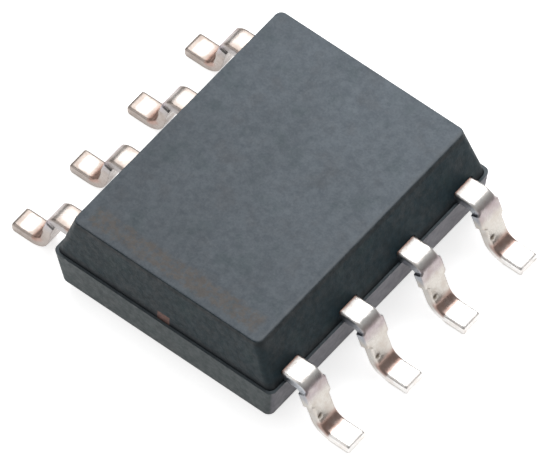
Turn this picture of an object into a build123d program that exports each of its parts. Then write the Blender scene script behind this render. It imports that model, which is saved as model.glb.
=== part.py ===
from build123d import *
import math
import os

# Eight-lead small-outline integrated circuit (narrow SOIC), millimetres.
# X runs across the package, from one row of leads to the other, Y along the
# rows and +Z up. The origin is the middle of the seating plane, under the body.
# Lead 1 is the first lead of the +X row, at the indexed (-Y) end; the count
# goes up that row and comes back down the -X row.

# ---- leads outside the body ----
LEADS_PER_ROW = 4
LEAD_PITCH = 1.27
TIP_TO_TIP = 6.16
LEAD_THICKNESS = 0.16
FOOT_WIDTH = 0.37
SHOULDER_WIDTH = 0.40
STUB_WIDTH = 0.46            # over the two sheared remnants of the dam bar
STUB_DROP = 0.17             # from the shoulder's top down to the remnants
STUB_LENGTH = 0.27           # height of the remnants along the leg
SHOULDER_REACH = 0.28        # body edge to where shoulder and leg would cross
LEG_LEAN = 17.0              # degrees from upright
KNEE_RADIUS = 0.08           # inside radii of the two bends
ANKLE_RADIUS = 0.20
TIP_EDGE = 0.02              # worn edge at the end of each foot

# ---- moulded body ----
BODY_END = 0.52              # middle of the last lead to the end of the body
BODY_WIDTH = 4.00            # over the lower half, at the parting line
PARTING_STEP = 0.04          # how far the lower half stands out below the upper
SEATED_HEIGHT = 1.72         # seating plane to top face
PARTING_HEIGHT = 0.85
STANDOFF = 0.19              # seating plane to underside
TOP_DRAFT_X = 0.27           # how far the top edge stands in, on a lead side
TOP_DRAFT_Y = 0.10           # the same, on an end
BASE_DRAFT_X = 0.095
BASE_DRAFT_Y = 0.03
CORNER_RADIUS = 0.11
TOP_EDGE_RADIUS = 0.025
BASE_EDGE_RADIUS = 0.05
EJECTOR_DIAMETER = 0.90      # shallow marks of the mould's pins, underneath
EJECTOR_DEPTH = 0.02
EJECTOR_INSET = 1.05         # end of the body to a mark's middle

# ---- lead frame inside the body ----
INNER_LEAD_REACH = 0.68      # body edge to the bonding tip
INNER_LEAD_WIDTH = 0.62      # at the bonding tip
INNER_LEAD_TIP = 0.30        # length of the wide bonding tip
LOCK_HOLE = 0.16             # hole that the moulding compound fills
LOCK_HOLE_INSET = 0.45       # body edge to the hole's middle
PAD_GAP = 0.20               # bonding tips to the die pad
PAD_END = 0.775              # end of the body to the end of the die pad
PAD_DOWNSET = 0.15
DOWNSET_RUN = 0.16           # length over which a tie bar steps down
TIE_WIDTH = 0.22
PAD_CORNER = 0.15

# ---- die, its adhesive and the bond wires ----
DIE_WIDTH = 1.30
DIE_LENGTH = 2.10
DIE_THICKNESS = 0.25
ADHESIVE_THICKNESS = 0.03
ADHESIVE_MARGIN = 0.06       # how far the adhesive shows round the die
WIRE_DIAMETER = 0.03
WIRE_RISE = 0.16             # top of the loop above the die
WIRE_BEND = 0.05
BALL_DIAMETER = 0.08
BALL_HEIGHT = 0.025
BOND_INSET = 0.10            # die edges to a ball's middle
STITCH_INSET = 0.12          # bonding tip's end to the stitch
STITCH_LENGTH = 0.07

LAST_LEAD_Y = LEAD_PITCH * (LEADS_PER_ROW - 1) / 2
HALF_LENGTH = LAST_LEAD_Y + BODY_END
LEAD_BASE = PARTING_HEIGHT   # the lead frame lies on the parting plane
LEAD_TOP = LEAD_BASE + LEAD_THICKNESS
HALF_WIDTH = BODY_WIDTH / 2
TOP_INSET_X = PARTING_STEP + TOP_DRAFT_X
TOP_INSET_Y = PARTING_STEP + TOP_DRAFT_Y
TIP_X = TIP_TO_TIP / 2
INNER_TIP_X = HALF_WIDTH - INNER_LEAD_REACH
PAD_HALF_WIDTH = INNER_TIP_X - PAD_GAP
PAD_BASE = LEAD_BASE - PAD_DOWNSET
DIE_BASE = PAD_BASE + LEAD_THICKNESS + ADHESIVE_THICKNESS
DIE_TOP = DIE_BASE + DIE_THICKNESS


def lead_rows():
    """Yield each lead's number, side (+1 or -1 in X) and place along Y."""
    for place in range(LEADS_PER_ROW):
        y = place * LEAD_PITCH - LAST_LEAD_Y
        yield place + 1, 1, y
        yield 2 * LEADS_PER_ROW - place, -1, y


def block(x0, x1, y0, y1, z0, z1):
    """A box between two corners."""
    solid = Box(x1 - x0, y1 - y0, z1 - z0)
    return Pos((x0 + x1) / 2, (y0 + y1) / 2, (z0 + z1) / 2) * solid


def strip_edges(points, thickness):
    """The two sides of a bent strip whose middle line has these corners."""
    upper, lower = [], []
    for index, (x, z) in enumerate(points):
        normals = []
        for start, end in ((index - 1, index), (index, index + 1)):
            if start >= 0 and end < len(points):
                dx = points[end][0] - points[start][0]
                dz = points[end][1] - points[start][1]
                run = math.hypot(dx, dz)
                normals.append((-dz / run, dx / run))
        nx = sum(n[0] for n in normals) / len(normals)
        nz = sum(n[1] for n in normals) / len(normals)
        reach = thickness / 2 / (nx * nx + nz * nz)
        upper.append((x + nx * reach, z + nz * reach))
        lower.append((x - nx * reach, z - nz * reach))
    return upper, lower


def strip(points, thickness, radii_upper, radii_lower, width, plane=Plane.XZ):
    """A bent strip of sheet, centred on the plane that its profile lies in."""
    upper, lower = strip_edges(points, thickness)
    top = FilletPolyline(*upper, radius=radii_upper)
    bottom = FilletPolyline(*lower, radius=radii_lower)
    ends = [Line(upper[0], lower[0]), Line(upper[-1], lower[-1])]
    profile = make_face([top, bottom] + ends)
    return extrude(plane * profile, amount=width / 2, both=True)


def outer_lead(width):
    """The gull-wing part of a +X lead, from inside the body to the foot's tip."""
    lean = math.radians(LEG_LEAN)
    knee_x = HALF_WIDTH + SHOULDER_REACH
    middle = LEAD_BASE + LEAD_THICKNESS / 2
    foot = LEAD_THICKNESS / 2
    ankle_x = knee_x + (middle - foot) * math.tan(lean)
    root_x = HALF_WIDTH - TOP_INSET_X
    points = [(root_x, middle), (knee_x, middle), (ankle_x, foot), (TIP_X, foot)]
    outside = KNEE_RADIUS + LEAD_THICKNESS
    heel = ANKLE_RADIUS + LEAD_THICKNESS
    return strip(points, LEAD_THICKNESS, (outside, ANKLE_RADIUS), (KNEE_RADIUS, heel), width)


def lead(side, y):
    """One lead: bonding tip, lock hole, shoulder, dam-bar remnants, leg, foot."""
    solid = outer_lead(FOOT_WIDTH)
    shoulder_end = HALF_WIDTH + SHOULDER_REACH - KNEE_RADIUS - LEAD_THICKNESS / 2
    half = SHOULDER_WIDTH / 2
    solid += block(INNER_TIP_X, shoulder_end, -half, half, LEAD_BASE, LEAD_TOP)
    half = INNER_LEAD_WIDTH / 2
    tip_end = INNER_TIP_X + INNER_LEAD_TIP
    solid += block(INNER_TIP_X, tip_end, -half, half, LEAD_BASE, LEAD_TOP)
    stub_top = LEAD_TOP - STUB_DROP
    band = block(HALF_WIDTH, TIP_X, -LEAD_PITCH, LEAD_PITCH, stub_top - STUB_LENGTH, stub_top)
    solid += outer_lead(STUB_WIDTH) & band
    hole = Cylinder(LOCK_HOLE / 2, 4 * LEAD_THICKNESS)
    solid -= Pos(HALF_WIDTH - LOCK_HOLE_INSET, 0, LEAD_BASE) * hole
    tip_edges = solid.edges().filter_by(Axis.Y).group_by(Axis.X)[-1]
    solid = chamfer(tip_edges, TIP_EDGE)
    if side < 0:
        solid = solid.mirror(Plane.YZ)
    return Pos(0, y, 0) * solid


def die_pad():
    """The paddle that carries the die, with its two tie bars cut at the ends."""
    half_length = HALF_LENGTH - PAD_END
    pad = block(-PAD_HALF_WIDTH, PAD_HALF_WIDTH, -half_length, half_length,
                PAD_BASE, PAD_BASE + LEAD_THICKNESS)
    pad = fillet(pad.edges().filter_by(Axis.Z), PAD_CORNER)
    high = LEAD_BASE + LEAD_THICKNESS / 2
    low = PAD_BASE + LEAD_THICKNESS / 2
    step_end = half_length + LEAD_THICKNESS
    step_start = step_end + DOWNSET_RUN
    points = [(HALF_LENGTH, high), (step_start, high), (step_end, low), (0, low)]
    radii = (LEAD_THICKNESS / 2, LEAD_THICKNESS / 2)
    bar = strip(points, LEAD_THICKNESS, radii, radii, TIE_WIDTH, Plane.YZ)
    pad += bar
    pad += bar.mirror(Plane.XZ)
    return pad & body_block()


def body_outline(inset_x, inset_y, z):
    """The body's outline at one height, drawn in from its widest."""
    outline = RectangleRounded(2 * (HALF_WIDTH - inset_x), 2 * (HALF_LENGTH - inset_y),
                               CORNER_RADIUS)
    return Pos(0, 0, z) * outline


def body_block():
    """The outside of the moulded body, with nothing taken out of it."""
    upper = loft([body_outline(PARTING_STEP, PARTING_STEP, PARTING_HEIGHT),
                  body_outline(TOP_INSET_X, TOP_INSET_Y, SEATED_HEIGHT)])
    lower = loft([body_outline(0, 0, PARTING_HEIGHT),
                  body_outline(BASE_DRAFT_X, BASE_DRAFT_Y, STANDOFF)])
    upper = fillet(upper.faces().sort_by(Axis.Z)[-1].edges(), TOP_EDGE_RADIUS)
    lower = fillet(lower.faces().sort_by(Axis.Z)[0].edges(), BASE_EDGE_RADIUS)
    solid = upper + lower
    mark = Cylinder(EJECTOR_DIAMETER / 2, 2 * EJECTOR_DEPTH)
    for y in (EJECTOR_INSET - HALF_LENGTH, HALF_LENGTH - EJECTOR_INSET):
        solid -= Pos(0, y, STANDOFF) * mark
    return solid


def adhesive():
    """The film of die-attach adhesive between paddle and die."""
    half_width = DIE_WIDTH / 2 + ADHESIVE_MARGIN
    half_length = DIE_LENGTH / 2 + ADHESIVE_MARGIN
    return block(-half_width, half_width, -half_length, half_length,
                 DIE_BASE - ADHESIVE_THICKNESS, DIE_BASE)


def silicon_die():
    """The sawn silicon chip."""
    return block(-DIE_WIDTH / 2, DIE_WIDTH / 2, -DIE_LENGTH / 2, DIE_LENGTH / 2,
                 DIE_BASE, DIE_TOP)


def bond_wire(side, y):
    """A ball on the die, a loop of wire and a stitch on the bonding tip."""
    ball_x = DIE_WIDTH / 2 - BOND_INSET
    ball_y = y / LAST_LEAD_Y * (DIE_LENGTH / 2 - BOND_INSET)
    stitch_x = INNER_TIP_X + STITCH_INSET
    across = math.hypot(stitch_x - ball_x, y - ball_y)
    heading = math.degrees(math.atan2(y - ball_y, stitch_x - ball_x))
    start = DIE_TOP + BALL_HEIGHT
    loop = DIE_TOP + WIRE_RISE
    landing = LEAD_TOP + WIRE_DIAMETER / 2
    fall = across - 3 * WIRE_BEND
    points = [(0, 0, start), (0, 0, loop), (3 * WIRE_BEND, 0, loop),
              (fall + 2 * WIRE_BEND, 0, landing), (across + STITCH_LENGTH, 0, landing)]
    path = FilletPolyline(*points, radius=WIRE_BEND)
    section = Plane(origin=points[0], z_dir=(0, 0, 1)) * Circle(WIRE_DIAMETER / 2)
    wire = sweep(section, path)
    ball = Pos(0, 0, DIE_TOP + BALL_HEIGHT / 2) * Cylinder(BALL_DIAMETER / 2, BALL_HEIGHT)
    wire = Pos(ball_x, ball_y, 0) * (Rot(0, 0, heading) * (wire + ball))
    if side < 0:
        wire = wire.mirror(Plane.YZ)
    return wire


def build():
    """Every piece by name; the body is moulded round all the others."""
    pieces = {"die_pad": die_pad(), "die_attach": adhesive(), "silicon_die": silicon_die()}
    for number, side, y in lead_rows():
        pieces[f"lead_{number}"] = lead(side, y)
        pieces[f"bond_wire_{number}"] = bond_wire(side, y)
    body = body_block()
    for piece in pieces.values():
        body -= piece
    pieces["mold_body"] = body
    return pieces


os.makedirs("parts", exist_ok=True)
for name, piece in build().items():
    export_step(piece, f"parts/{name}.step")
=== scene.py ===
import math

import bpy
from mathutils import Matrix, Vector, noise


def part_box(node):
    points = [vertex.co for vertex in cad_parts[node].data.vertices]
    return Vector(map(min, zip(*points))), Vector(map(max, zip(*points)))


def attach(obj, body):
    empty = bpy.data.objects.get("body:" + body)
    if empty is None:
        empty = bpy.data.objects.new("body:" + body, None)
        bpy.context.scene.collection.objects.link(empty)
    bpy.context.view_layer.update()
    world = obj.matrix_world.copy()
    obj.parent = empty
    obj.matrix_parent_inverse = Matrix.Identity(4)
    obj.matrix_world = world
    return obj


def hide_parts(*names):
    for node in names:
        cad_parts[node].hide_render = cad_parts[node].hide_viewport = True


# Looks for an eight-lead small-outline package, in metres, in the CAD frame:
# X across the body, Y along the rows of leads, Z up from the seating plane.

MM = 0.001
LEAD_NUMBERS = range(1, 9)           # each lead has its own bond wire

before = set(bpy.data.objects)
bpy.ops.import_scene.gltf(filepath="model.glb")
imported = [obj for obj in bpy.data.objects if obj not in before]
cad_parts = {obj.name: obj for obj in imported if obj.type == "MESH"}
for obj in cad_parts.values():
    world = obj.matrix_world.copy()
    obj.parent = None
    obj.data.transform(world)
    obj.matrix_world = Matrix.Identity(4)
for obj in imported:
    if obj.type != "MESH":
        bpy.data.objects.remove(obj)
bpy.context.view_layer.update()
body_low, body_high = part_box("mold_body")
lead_low, lead_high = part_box("lead_1")

# ---- sizes of the leads, as the CAD has them ----
THICKNESS = 0.16 * MM
LEAD_TOP = lead_high.z
LEAD_MIDDLE = LEAD_TOP - THICKNESS / 2
BODY_SIDE = body_high.x
INNER_TIP = lead_low.x
FOOT_TIP = lead_high.x
INNER_HALF_WIDTH = (lead_high.y - lead_low.y) / 2
SHOULDER_HALF_WIDTH = 0.20 * MM
STUB_HALF_WIDTH = 0.23 * MM
FOOT_HALF_WIDTH = 0.185 * MM
INNER_TIP_LENGTH = 0.30 * MM
STUB_TOP = LEAD_TOP - 0.17 * MM
STUB_BASE = STUB_TOP - 0.27 * MM
KNEE_X = BODY_SIDE + 0.28 * MM       # where shoulder and leg would cross
LEG_LEAN = math.radians(17)
KNEE_BEND = 0.16 * MM                # radii of the bends, along the middle
ANKLE_BEND = 0.28 * MM
ROLLED_EDGE = 0.045 * MM             # rounding on the side the punch entered
SHEARED_EDGE = 0.012 * MM

# ---- heights on the body ----
PARTING_HEIGHT = 0.85 * MM
TOP_HALF_X = body_high.x - 0.31 * MM
TOP_HALF_Y = body_high.y - 0.14 * MM


# ------------------------------------------------------------------ materials

class Surface:
    """A node material being put together."""

    def __init__(self, name):
        self.material = bpy.data.materials.new(name)
        self.material.use_nodes = True
        self.tree = self.material.node_tree
        self.tree.nodes.clear()
        self.output = self.tree.nodes.new("ShaderNodeOutputMaterial")
        self.shader = self.tree.nodes.new("ShaderNodeBsdfPrincipled")
        self.tree.links.new(self.shader.outputs[0], self.output.inputs["Surface"])
        self.place = self.tree.nodes.new("ShaderNodeTexCoord").outputs["Object"]

    def link(self, value, socket):
        """Put a number, a colour or another node's output into a socket."""
        if isinstance(value, bpy.types.NodeSocket):
            self.tree.links.new(value, socket)
        else:
            socket.default_value = value

    def math(self, operation, *values, clamp=False):
        node = self.tree.nodes.new("ShaderNodeMath")
        node.operation = operation
        node.use_clamp = clamp
        for socket, value in zip(node.inputs, values):
            self.link(value, socket)
        return node.outputs[0]

    def noise(self, size, detail=3.0, roughness=0.55, stretch=(1, 1, 1), offset=(0, 0, 0)):
        """Fractal noise whose largest features are about size metres across."""
        mapping = self.tree.nodes.new("ShaderNodeMapping")
        self.link(self.place, mapping.inputs["Vector"])
        mapping.inputs["Location"].default_value = offset
        mapping.inputs["Scale"].default_value = [s / size for s in stretch]
        node = self.tree.nodes.new("ShaderNodeTexNoise")
        self.link(mapping.outputs[0], node.inputs["Vector"])
        node.inputs["Scale"].default_value = 1.0
        node.inputs["Detail"].default_value = detail
        node.inputs["Roughness"].default_value = roughness
        return node.outputs["Fac"]

    def cells(self, size, offset=(0, 0, 0)):
        """Distance to scattered points, size metres apart."""
        mapping = self.tree.nodes.new("ShaderNodeMapping")
        self.link(self.place, mapping.inputs["Vector"])
        mapping.inputs["Location"].default_value = offset
        mapping.inputs["Scale"].default_value = [1 / size] * 3
        node = self.tree.nodes.new("ShaderNodeTexVoronoi")
        self.link(mapping.outputs[0], node.inputs["Vector"])
        node.inputs["Scale"].default_value = 1.0
        return node.outputs["Distance"]

    def ramp(self, value, low, high, out_low=0.0, out_high=1.0):
        """A smooth step: out_low where value is at low, out_high where it is at high."""
        node = self.tree.nodes.new("ShaderNodeMapRange")
        node.interpolation_type = "SMOOTHSTEP"
        for name, entry in (("Value", value), ("From Min", low), ("From Max", high),
                            ("To Min", out_low), ("To Max", out_high)):
            self.link(entry, node.inputs[name])
        return node.outputs["Result"]

    def mix(self, share, first, second, blend="MIX"):
        """Mix two colours, with share of the second."""
        node = self.tree.nodes.new("ShaderNodeMix")
        node.data_type = "RGBA"
        node.blend_type = blend
        colours = [s for s in node.inputs if s.type == "RGBA"]
        self.link(share, node.inputs["Factor"])
        self.link(first, colours[0])
        self.link(second, colours[1])
        return next(s for s in node.outputs if s.type == "RGBA")

    def axes(self, vector):
        node = self.tree.nodes.new("ShaderNodeSeparateXYZ")
        self.link(vector, node.inputs[0])
        return node.outputs["X"], node.outputs["Y"], node.outputs["Z"]

    def normal(self):
        return self.tree.nodes.new("ShaderNodeNewGeometry").outputs["Normal"]

    def attribute_colour(self, name):
        node = self.tree.nodes.new("ShaderNodeAttribute")
        node.attribute_name = name
        return node.outputs["Color"]

    def bump(self, height, distance, strength=1.0, under=None):
        """Relief from a height of 0 to 1 that stands for distance metres."""
        node = self.tree.nodes.new("ShaderNodeBump")
        node.inputs["Strength"].default_value = strength
        node.inputs["Distance"].default_value = distance
        self.link(height, node.inputs["Height"])
        if under is not None:
            self.link(under, node.inputs["Normal"])
        return node.outputs["Normal"]

    def set(self, **values):
        """Shader sockets by name, with _ for a space."""
        for name, value in values.items():
            self.link(value, self.shader.inputs[name.replace("_", " ")])


def colour(red, green, blue):
    return (red, green, blue, 1.0)


def moulding_compound():
    """Dark grey filled epoxy: grainy, with a painted sheen that makes the top face lighter."""
    s = Surface("moulding_compound")
    x, y, z = s.axes(s.place)
    normal_x, _, normal_z = s.axes(s.normal())
    upward = s.ramp(normal_z, 0.55, 0.97)

    mottle = s.noise(0.14 * MM, detail=4)
    grain = s.noise(0.036 * MM, detail=3, offset=(3, 1, 7))
    tone = s.math("ADD", s.math("MULTIPLY", mottle, 0.55), s.math("MULTIPLY", grain, 0.45))
    share = s.ramp(tone, 0.34, 0.66)
    side_colour = s.mix(share, colour(0.001, 0.012, 0.017), colour(0.004, 0.021, 0.030))
    # painted sheen: the top face gets a lighter copy of the side colour
    top_colour_painted_sheen = s.mix(share, colour(0.086, 0.104, 0.123), colour(0.118, 0.140, 0.161))
    # painted reflection: the lower half lighter than the upper sides, and lighter still on the ±X
    # flanks
    lower_colour_painted_reflection = s.mix(share, colour(0.044, 0.060, 0.063), colour(0.068, 0.087, 0.091))
    flank_painted_reflection = s.mix(share, colour(0.185, 0.180, 0.206), colour(0.230, 0.224, 0.254))
    flank = s.ramp(s.math("ABSOLUTE", normal_x), 0.6, 0.9)
    lower_colour_painted_reflection = s.mix(flank, lower_colour_painted_reflection, flank_painted_reflection)
    lower = s.ramp(z, PARTING_HEIGHT + 0.004 * MM, PARTING_HEIGHT - 0.004 * MM)
    base = s.mix(upward, side_colour, top_colour_painted_sheen)
    base = s.mix(lower, base, lower_colour_painted_reflection)

    # painted sheen, slowly changing over the top: darker at the lead 1 corner, lighter at the far
    # end, with random smudges of tone
    drift = s.math("ADD", s.math("MULTIPLY", x, 0.4), s.math("MULTIPLY", y, 0.6))
    shade = s.ramp(drift, -1.8 * MM, 1.8 * MM, 0.80, 1.20)
    smudge = s.noise(0.8 * MM, detail=3, stretch=(1.0, 0.6, 1.0), offset=(6, 2, 8))
    shade = s.math("MULTIPLY", shade, s.ramp(smudge, 0.3, 0.7, 0.95, 1.05))
    gain = s.tree.nodes.new("ShaderNodeVectorMath")
    gain.operation = "SCALE"
    s.link(base, gain.inputs[0])
    s.link(shade, gain.inputs["Scale"])
    base = gain.outputs[0]

    tint = s.noise(0.40 * MM, detail=3, offset=(9, 4, 2))
    base = s.mix(s.ramp(tint, 0.52, 0.72, 0.0, 0.18), base, colour(0.076, 0.068, 0.066))
    base = s.mix(s.ramp(tint, 0.48, 0.28, 0.0, 0.22), base, colour(0.026, 0.056, 0.056))

    # brownish index band on the top face, along the lead 1 end
    inward = s.math("ADD", y, TOP_HALF_Y)
    wobble = s.math("SUBTRACT", s.noise(0.12 * MM, offset=(1, 8, 3)), 0.5)
    inward = s.math("ADD", inward, s.math("MULTIPLY", wobble, 0.16 * MM))
    band = s.math("MULTIPLY", s.ramp(inward, 0.08 * MM, 0.15 * MM),
                  s.ramp(inward, 0.46 * MM, 0.36 * MM))
    band = s.math("MULTIPLY", band, s.ramp(s.math("ABSOLUTE", x), 1.58 * MM, 1.46 * MM))
    patches = s.ramp(s.noise(0.07 * MM, detail=4, offset=(5, 2, 1)), 0.38, 0.60, 0.2, 1.0)
    band = s.math("MULTIPLY", s.math("MULTIPLY", band, patches), upward)
    base = s.mix(s.math("MULTIPLY", band, 0.70), base, colour(0.112, 0.094, 0.080))

    # painted shade above the parting line, dark where the upper half meets the step
    above = s.math("SUBTRACT", z, PARTING_HEIGHT)
    parting_line_shade = s.math("MULTIPLY", s.ramp(above, 0.17 * MM, 0.03 * MM),
                     s.ramp(above, -0.012 * MM, -0.002 * MM))
    parting_line_shade = s.math("MULTIPLY", parting_line_shade, s.math("SUBTRACT", 1.0, upward))
    base = s.mix(s.math("MULTIPLY", parting_line_shade, 0.85), base, colour(0.003, 0.005, 0.007))

    # a dark line on the sides, just under the edge of the top face
    below = s.math("SUBTRACT", body_high.z, z)
    line = s.math("MULTIPLY", s.ramp(below, 0.012 * MM, 0.03 * MM),
                  s.ramp(below, 0.12 * MM, 0.07 * MM))
    base = s.mix(s.math("MULTIPLY", line, 0.65), base, colour(0.003, 0.005, 0.007))

    # painted highlight: a paler band along the +X edge of the top face above leads 1 to 4; and a
    # browned lower rim
    edge = s.ramp(x, TOP_HALF_X - 0.075 * MM, TOP_HALF_X - 0.02 * MM)
    edge = s.math("MULTIPLY", edge, s.ramp(z, body_high.z - 0.03 * MM, body_high.z))
    base = s.mix(s.math("MULTIPLY", edge, s.ramp(mottle, 0.3, 0.6, 0.25, 0.75)), base,
                 colour(0.120, 0.135, 0.148))
    rim = s.ramp(z, body_low.z + 0.07 * MM, body_low.z + 0.01 * MM)
    base = s.mix(s.math("MULTIPLY", rim, 0.5), base, colour(0.045, 0.028, 0.018))

    roughness = s.ramp(s.noise(0.09 * MM, detail=3, offset=(2, 6, 4)), 0.3, 0.7, 0.42, 0.58)
    relief = s.bump(grain, 0.006 * MM, 0.50)
    relief = s.bump(mottle, 0.010 * MM, 0.40, under=relief)
    s.set(Base_Color=base, Roughness=roughness, Specular_IOR_Level=0.24, Normal=relief)
    return s.material


def tinned_lead():
    """Solder-plated lead: bright on the flats, with painted shade and highlights, browned where it
    was bent or cut.
    """
    s = Surface("tinned_lead")
    # per-vertex tint: painted shade and highlights, with brown tints
    stain_and_painted_light = s.attribute_colour("stain_and_painted_light")
    fine = s.noise(0.030 * MM, detail=4)
    broad = s.noise(0.16 * MM, detail=3, offset=(4, 4, 1))
    base = s.mix(s.ramp(fine, 0.3, 0.7), colour(0.84, 0.81, 0.78), colour(0.93, 0.91, 0.89))
    base = s.mix(s.ramp(broad, 0.45, 0.70, 0.0, 0.5), base, colour(0.80, 0.72, 0.66))
    base = s.mix(s.ramp(broad, 0.45, 0.30, 0.0, 0.4), base, colour(0.78, 0.79, 0.76))
    base = s.mix(1.0, base, stain_and_painted_light, blend="MULTIPLY")
    streaks = s.noise(0.022 * MM, detail=3, stretch=(0.25, 1.0, 0.25), offset=(7, 3, 5))
    roughness = s.ramp(broad, 0.3, 0.7, 0.26, 0.40)
    relief = s.bump(streaks, 0.0025 * MM, 0.5)
    relief = s.bump(fine, 0.0030 * MM, 0.5, under=relief)
    s.set(Base_Color=base, Metallic=1.0, Roughness=roughness, Normal=relief)
    return s.material


def sheet_copper():
    """Bare lead-frame copper, sawn at the tie bars' ends."""
    s = Surface("lead_frame_copper")
    fine = s.noise(0.03 * MM, detail=4)
    base = s.mix(s.ramp(fine, 0.35, 0.65), colour(0.070, 0.040, 0.036), colour(0.170, 0.100, 0.085))
    dark = s.ramp(s.noise(0.07 * MM, offset=(2, 2, 9)), 0.5, 0.7)
    base = s.mix(s.math("MULTIPLY", dark, 0.6), base, colour(0.09, 0.05, 0.04))
    roughness = s.ramp(fine, 0.3, 0.7, 0.35, 0.6)
    s.set(Base_Color=base, Metallic=0.9, Roughness=roughness,
          Normal=s.bump(fine, 0.004 * MM, 0.6))
    return s.material


def silver_epoxy():
    s = Surface("silver_epoxy")
    flakes = s.cells(0.02 * MM)
    base = s.mix(s.ramp(flakes, 0.1, 0.6), colour(0.62, 0.61, 0.60), colour(0.34, 0.33, 0.32))
    s.set(Base_Color=base, Metallic=0.6, Roughness=s.ramp(flakes, 0.1, 0.7, 0.35, 0.6),
          Normal=s.bump(flakes, 0.004 * MM, 0.5))
    return s.material


def silicon():
    s = Surface("silicon")
    haze = s.noise(0.25 * MM, detail=2)
    base = s.mix(s.ramp(haze, 0.35, 0.65), colour(0.20, 0.20, 0.23), colour(0.29, 0.29, 0.31))
    s.set(Base_Color=base, Metallic=0.8, Roughness=s.ramp(haze, 0.3, 0.7, 0.12, 0.22),
          Normal=s.bump(s.noise(0.02 * MM), 0.0006 * MM, 0.3))
    return s.material


def gold():
    s = Surface("gold_wire")
    fine = s.noise(0.02 * MM, detail=3)
    base = s.mix(s.ramp(fine, 0.3, 0.7), colour(0.83, 0.58, 0.24), colour(0.95, 0.71, 0.34))
    s.set(Base_Color=base, Metallic=1.0, Roughness=s.ramp(fine, 0.3, 0.7, 0.18, 0.3),
          Normal=s.bump(fine, 0.001 * MM, 0.4))
    return s.material


# ---------------------------------------------------------------------- leads

def bend(start_angle, end_angle, centre, radius, steps):
    """Stations round an arc: place, direction angle, in the XZ plane."""
    turn = 1 if end_angle > start_angle else -1
    stations = []
    for step in range(steps + 1):
        angle = start_angle + (end_angle - start_angle) * step / steps
        offset = angle - turn * math.pi / 2
        stations.append((centre[0] + radius * math.cos(offset),
                         centre[1] + radius * math.sin(offset), angle))
    return stations


def straight(start, end, angle, spacing):
    """Stations between two places, leaving out both ends."""
    length = math.hypot(end[0] - start[0], end[1] - start[1])
    count = max(1, round(length / spacing))
    return [(start[0] + (end[0] - start[0]) * k / count,
             start[1] + (end[1] - start[1]) * k / count, angle) for k in range(1, count)]


def middle_line():
    """Stations along a +X lead's middle line, from bonding tip to foot."""
    spacing = 0.022 * MM
    down = LEG_LEAN - math.pi / 2
    foot_z = THICKNESS / 2
    ankle_x = KNEE_X + (LEAD_MIDDLE - foot_z) * math.tan(LEG_LEAN)
    trim = math.tan(abs(down) / 2)
    knee_start = (KNEE_X - KNEE_BEND * trim, LEAD_MIDDLE)
    foot_start = (ankle_x + ANKLE_BEND * trim, foot_z)
    knee = bend(0, down, (knee_start[0], LEAD_MIDDLE - KNEE_BEND), KNEE_BEND, 14)
    ankle = bend(down, 0, (foot_start[0], foot_z + ANKLE_BEND), ANKLE_BEND, 14)
    root = (INNER_TIP, LEAD_MIDDLE)
    tip = (FOOT_TIP, foot_z)
    return ([(*root, 0.0)] + straight(root, knee_start, 0.0, spacing) + knee
            + straight(knee[-1], ankle[0], down, spacing) + ankle
            + straight(foot_start, tip, 0.0, spacing) + [(*tip, 0.0)])


def step(value, low, high):
    """Smooth 0 to 1 as value goes from low to high."""
    share = min(1.0, max(0.0, (value - low) / (high - low)))
    return share * share * (3 - 2 * share)


def half_width(x, z):
    """Half the lead's width at a place on its middle line."""
    corner = 0.012 * MM
    width = SHOULDER_HALF_WIDTH
    inner_end = INNER_TIP + INNER_TIP_LENGTH
    width += (INNER_HALF_WIDTH - width) * step(x, inner_end + corner, inner_end - corner)
    width += (FOOT_HALF_WIDTH - SHOULDER_HALF_WIDTH) * step(z, STUB_TOP, STUB_BASE)
    stub = step(z, STUB_TOP + corner, STUB_TOP - corner)
    stub *= step(z, STUB_BASE - corner, STUB_BASE + corner)
    if x > BODY_SIDE:
        width += (STUB_HALF_WIDTH - width) * stub
    return width


def section(width, tip_round):
    """Points round a cross-section, (across, up), and which face each is on."""
    across, around, upright = 22, 5, 5
    thick = THICKNESS / 2 * tip_round
    top, base = ROLLED_EDGE * tip_round, SHEARED_EDGE * tip_round
    points = []

    def arc(cx, cz, radius, begin):
        for k in range(around + 1):
            angle = begin + math.pi / 2 * k / around
            points.append((cx + radius * math.cos(angle), cz + radius * math.sin(angle)))

    def run(start, end, count):
        for k in range(1, count):
            points.append((start[0] + (end[0] - start[0]) * k / count,
                           start[1] + (end[1] - start[1]) * k / count))

    arc(width - top, thick - top, top, 0)
    run((width - top, thick), (top - width, thick), across)
    arc(top - width, thick - top, top, math.pi / 2)
    run((-width, thick - top), (-width, base - thick), upright)
    arc(base - width, base - thick, base, math.pi)
    run((base - width, -thick), (width - base, -thick), across)
    arc(width - base, base - thick, base, 3 * math.pi / 2)
    run((width, base - thick), (width, thick - top), upright)
    return points


BROWN = (0.40, 0.26, 0.22)           # heat-stained solder
VIOLET_KNEE_SHADE = (0.42, 0.36, 0.39)          # painted shade on the knee bend
SLATE_SIDE_SHADE = (0.42, 0.46, 0.52)           # painted shade on the side faces, over the thin plating of the sheared sides
WARM_LEG_SHADE = (0.66, 0.64, 0.61)            # painted shade down the legs
DULL_FAR_ROW_SHADE = (0.40, 0.355, 0.33)            # painted shade over the -X row
DARK_SHADOW_AND_SPOT = (0.20, 0.17, 0.13)            # painted contact shadow along the foot's sides, and the dark in each tool mark's hollow


def blend(first, second, share):
    return tuple(a + (b - a) * share for a, b in zip(first, second))


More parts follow.
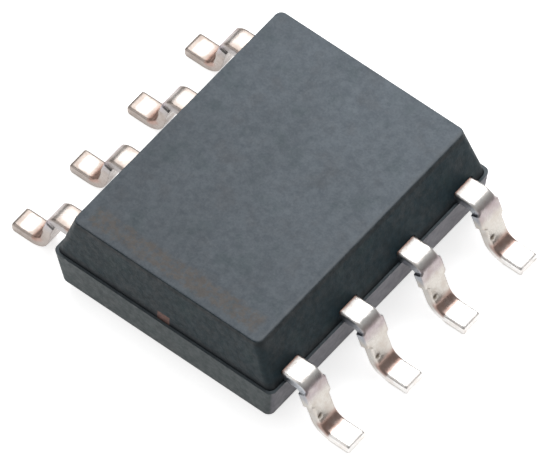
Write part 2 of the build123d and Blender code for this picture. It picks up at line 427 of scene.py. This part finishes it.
def lead_stain_and_painted_light(x, z, share, across, width, knee, leg, ankle, pit, seed, side_x):
    """Tint of the plating at a point, painted shade and highlights included; share is 1 on the outer
    face, -1 on the inner.
    """
    ripple = noise.noise(Vector((x, across, z + seed)) / (0.07 * MM))
    outer = step(share, -0.2, 0.6)
    side = step(abs(across) / width, 0.93, 0.99)
    high = step(z, 0.62 * MM, 0.80 * MM)
    foot = step(x, FOOT_TIP - 0.40 * MM, FOOT_TIP - 0.30 * MM)
    bright = (1.0, 1.0, 1.0)
    # painted shade: the legs darker and warmer than the shoulder and foot
    tint = blend(bright, WARM_LEG_SHADE, leg)
    # the -X row: painted shade all over, with painted highlights on the foot and shoulder
    if side_x < 0:
        far_foot_highlight = step(x, FOOT_TIP - 0.34 * MM, FOOT_TIP - 0.26 * MM)
        far_foot_highlight *= step(x, FOOT_TIP - 0.08 * MM, FOOT_TIP - 0.15 * MM)
        far_foot_highlight *= step(abs(across + 0.02 * MM * ripple) / width, 0.85, 0.45)
        far_shoulder_highlight = step(abs(across) / width, 0.80, 0.30) * step(z, STUB_TOP, LEAD_TOP)
        tint = blend(DULL_FAR_ROW_SHADE, bright, max(0.8 * far_foot_highlight, (0.35 + 0.15 * ripple) * far_shoulder_highlight))
    # painted shade on the outer face of the knee bend
    tint = blend(tint, VIOLET_KNEE_SHADE, knee * outer * (0.75 + 0.25 * ripple))
    tint = blend(tint, BROWN, ankle * outer * (0.85 + 0.15 * ripple))
    # painted shade on the side faces, strongest on the -Y side and up at the shoulder; slight slate
    # of the sheared sides elsewhere
    side_shade_share = side * (0.10 + 0.80 * high) * (1.0 if across < 0 else 0.4)
    tint = blend(tint, SLATE_SIDE_SHADE, side_shade_share)
    root = step(x - BODY_SIDE, (-0.040 + 0.02 * ripple) * MM, -0.08 * MM)
    copper_edge = step(across / width, 0.72, 0.95) * high
    copper_edge *= step(x - BODY_SIDE, 0.08 * MM, -0.02 * MM)
    tint = blend(tint, BROWN, max(root, 0.8 * copper_edge) * step(share, 0.0, 0.8))
    # painted contact shadow along the bottom of the foot's side faces
    tint = blend(tint, DARK_SHADOW_AND_SPOT, 0.7 * foot * side * step(share, -0.5, -0.9))
    return (*blend(tint, DARK_SHADOW_AND_SPOT, 0.9 * pit), 1.0)


PIT_HEIGHT = 0.36 * MM               # middle of the tool mark on each leg
PIT_ACROSS = -0.12 * MM
PIT_HALF_LENGTH = 0.034 * MM
PIT_HALF_WIDTH = 0.046 * MM
PIT_DEPTH = 0.012 * MM


def lead_mesh(name, side, centre_y, seed):
    """One lead swept along its middle line, with rolled and sheared edges."""
    stations = middle_line()
    vertices, faces, stains_and_painted_light, rings = [], [], [], []
    for number, (x, z, angle) in enumerate(stations):
        ends = min(number, len(stations) - 1 - number)
        tip_round = (0.80, 0.93, 1.0)[min(ends, 2)]
        width = half_width(x, z) * (0.965, 0.99, 1.0)[min(ends, 2)]
        up_x, up_z = -math.sin(angle), math.cos(angle)
        # knee and leg mask the painted shade; ankle masks the brown tint
        knee = step(-angle, 0.50, 0.95) * step(z, STUB_TOP - 0.22 * MM, STUB_TOP - 0.04 * MM)
        leg = step(-angle, 0.45, 1.00)
        ankle = step(z, 0.34 * MM, 0.20 * MM) * step(-angle, 0.03, 0.22)
        ring = []
        for across, up in section(width, tip_round):
            share = up / (THICKNESS / 2)
            sway = noise.noise(Vector((x, across, z + seed)) / (0.22 * MM))
            fine = noise.noise(Vector((x, across, z - seed)) / (0.06 * MM))
            pit = 0.0
            if x > BODY_SIDE + 0.02 * MM:
                up -= step(share, 0.2, 1.0) * (0.0022 * MM * (1 + sway) + 0.0008 * MM * (1 + fine))
                oval = math.hypot((across - PIT_ACROSS) / PIT_HALF_WIDTH,
                                  (z - PIT_HEIGHT) / PIT_HALF_LENGTH)
                pit = step(oval, 1.15, 0.55) * step(share, 0.5, 0.9)
                up -= PIT_DEPTH * pit
            px, pz = x + up_x * up, z + up_z * up
            ring.append(len(vertices))
            vertices.append((side * px, centre_y + side * across, pz))
            stains_and_painted_light.append(lead_stain_and_painted_light(px, pz, share, across, width, knee, leg, ankle, pit,
                                     seed, side))
        rings.append(ring)
    count = len(rings[0])
    for first, second in zip(rings, rings[1:]):
        for k in range(count):
            after = (k + 1) % count
            faces.append((first[k], first[after], second[after], second[k]))
    faces.append(tuple(reversed(rings[0])))
    faces.append(tuple(rings[-1]))
    mesh = bpy.data.meshes.new(name)
    mesh.from_pydata(vertices, [], faces)
    mesh.flip_normals()
    layer = mesh.attributes.new("stain_and_painted_light", "FLOAT_COLOR", "POINT")
    layer.data.foreach_set("color", [value for stain_and_painted_light in stains_and_painted_light for value in stain_and_painted_light])
    mesh.shade_smooth()
    mesh.set_sharp_from_angle(angle=math.radians(38))
    lead = bpy.data.objects.new(name, mesh)
    bpy.context.scene.collection.objects.link(lead)
    return lead


def add_leads(material):
    """Every lead, in place of the CAD's, on its own row and place."""
    for number in LEAD_NUMBERS:
        node = f"lead_{number}"
        low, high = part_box(node)
        side = 1 if low.x + high.x > 0 else -1
        lead = lead_mesh(f"plated_lead_{number}", side, (low.y + high.y) / 2, number * 0.7)
        lead.data.materials.append(material)
        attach(lead, "root")
        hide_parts(node)


# ---------------------------------------------------------------------- stage

FLOOR_HALF = 0.4
FLOOR_DROP = 0.001 * MM              # keeps the floor just clear of the feet
FLOOR_GLOW = 0.72                    # whitens the floor but leaves its shadow
WORLD_FILL = 0.32

# name, azimuth and elevation in degrees, distance and size in metres, radiance
LAMPS = (
    ("overhead", 216, 57, 0.045, 0.045, 2.6),
    ("left_fill", -40, 35, 0.060, 0.050, 0.8),
)


def pale_floor():
    """White paper that stays white to the camera and keeps a soft shadow."""
    s = Surface("pale_floor")
    weave = s.noise(0.5 * MM, detail=3)
    base = s.mix(s.ramp(weave, 0.3, 0.7), colour(0.80, 0.80, 0.80), colour(0.84, 0.84, 0.84))
    s.set(Base_Color=base, Roughness=0.9, Specular_IOR_Level=0.1)
    path = s.tree.nodes.new("ShaderNodeLightPath")
    seen = s.math("MAXIMUM", path.outputs["Is Camera Ray"], path.outputs["Is Glossy Ray"])
    seen = s.math("MAXIMUM", seen, path.outputs["Is Transmission Ray"])
    s.set(Emission_Color=colour(1, 1, 1), Emission_Strength=s.math("MULTIPLY", seen, FLOOR_GLOW))
    return s.material


def add_floor():
    mesh = bpy.data.meshes.new("floor")
    signs = ((-1, -1), (1, -1), (1, 1), (-1, 1))
    corners = [(FLOOR_HALF * a, FLOOR_HALF * b, -FLOOR_DROP) for a, b in signs]
    mesh.from_pydata(corners, [], [(0, 1, 2, 3)])
    mesh.materials.append(pale_floor())
    floor = bpy.data.objects.new("floor", mesh)
    bpy.context.scene.collection.objects.link(floor)


def add_world():
    """Even fill light, with a white background behind everything."""
    world = bpy.data.worlds.new("studio")
    bpy.context.scene.world = world
    world.use_nodes = True
    tree = world.node_tree
    tree.nodes.clear()
    output = tree.nodes.new("ShaderNodeOutputWorld")
    background = tree.nodes.new("ShaderNodeBackground")
    background.inputs["Color"].default_value = colour(1, 1, 1)
    tree.links.new(background.outputs[0], output.inputs["Surface"])
    path = tree.nodes.new("ShaderNodeLightPath")
    strength = tree.nodes.new("ShaderNodeMapRange")
    strength.inputs["To Min"].default_value = WORLD_FILL
    strength.inputs["To Max"].default_value = 1.0
    tree.links.new(path.outputs["Is Camera Ray"], strength.inputs["Value"])
    tree.links.new(strength.outputs[0], background.inputs["Strength"])


def toward(azimuth, elevation):
    """Unit vector from the object, azimuth as the camera's: 0 is -Y, 90 is +X."""
    a, e = math.radians(azimuth), math.radians(elevation)
    return Vector((math.sin(a) * math.cos(e), -math.cos(a) * math.cos(e), math.sin(e)))


def add_lamp(name, azimuth, elevation, distance, size, radiance):
    """A square soft box aimed at the object, of a given brightness."""
    data = bpy.data.lights.new(name, "AREA")
    data.shape = "SQUARE"
    data.size = size
    data.energy = radiance * math.pi * size * size
    lamp = bpy.data.objects.new(name, data)
    direction = toward(azimuth, elevation)
    lamp.location = direction * distance
    lamp.rotation_mode = "QUATERNION"
    lamp.rotation_quaternion = direction.to_track_quat("Z", "Y")
    bpy.context.scene.collection.objects.link(lamp)


CAMERA_AZIMUTH = 43.08
CAMERA_ELEVATION = 55.66
CAMERA_ROLL = -4.21
CAMERA_DISTANCE = 215.2 * MM
CAMERA_LENS = 1000.0
AIM_RIGHT = 0.0085 * MM
AIM_UP = 0.2254 * MM


def add_camera():
    back = toward(CAMERA_AZIMUTH, CAMERA_ELEVATION)
    a, roll = math.radians(CAMERA_AZIMUTH), math.radians(CAMERA_ROLL)
    level = Vector((math.cos(a), math.sin(a), 0))
    rise = back.cross(level)
    right = level * math.cos(roll) + rise * math.sin(roll)
    up = rise * math.cos(roll) - level * math.sin(roll)
    data = bpy.data.cameras.new("camera")
    data.sensor_width = 36.0
    data.lens = CAMERA_LENS
    data.clip_start = 0.01
    data.clip_end = 10.0
    camera = bpy.data.objects.new("camera", data)
    place = right * AIM_RIGHT + up * AIM_UP + back * CAMERA_DISTANCE
    camera.matrix_world = Matrix.Translation(place) @ Matrix((right, up, back)).transposed().to_4x4()
    bpy.context.scene.collection.objects.link(camera)
    bpy.context.scene.camera = camera


# ---------------------------------------------------------------------- build

def finish_node(node, material):
    """Give a CAD node's own mesh a new material."""
    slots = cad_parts[node].material_slots
    for entry in slots:
        entry.material = material


finish_node("mold_body", moulding_compound())
finish_node("die_pad", sheet_copper())
finish_node("die_attach", silver_epoxy())
finish_node("silicon_die", silicon())
wire_gold = gold()
for wire_number in LEAD_NUMBERS:
    finish_node(f"bond_wire_{wire_number}", wire_gold)
add_leads(tinned_lead())

add_floor()
add_world()
for lamp_values in LAMPS:
    add_lamp(*lamp_values)
add_camera()

view_settings = bpy.context.scene.view_settings
view_settings.view_transform = "Standard"
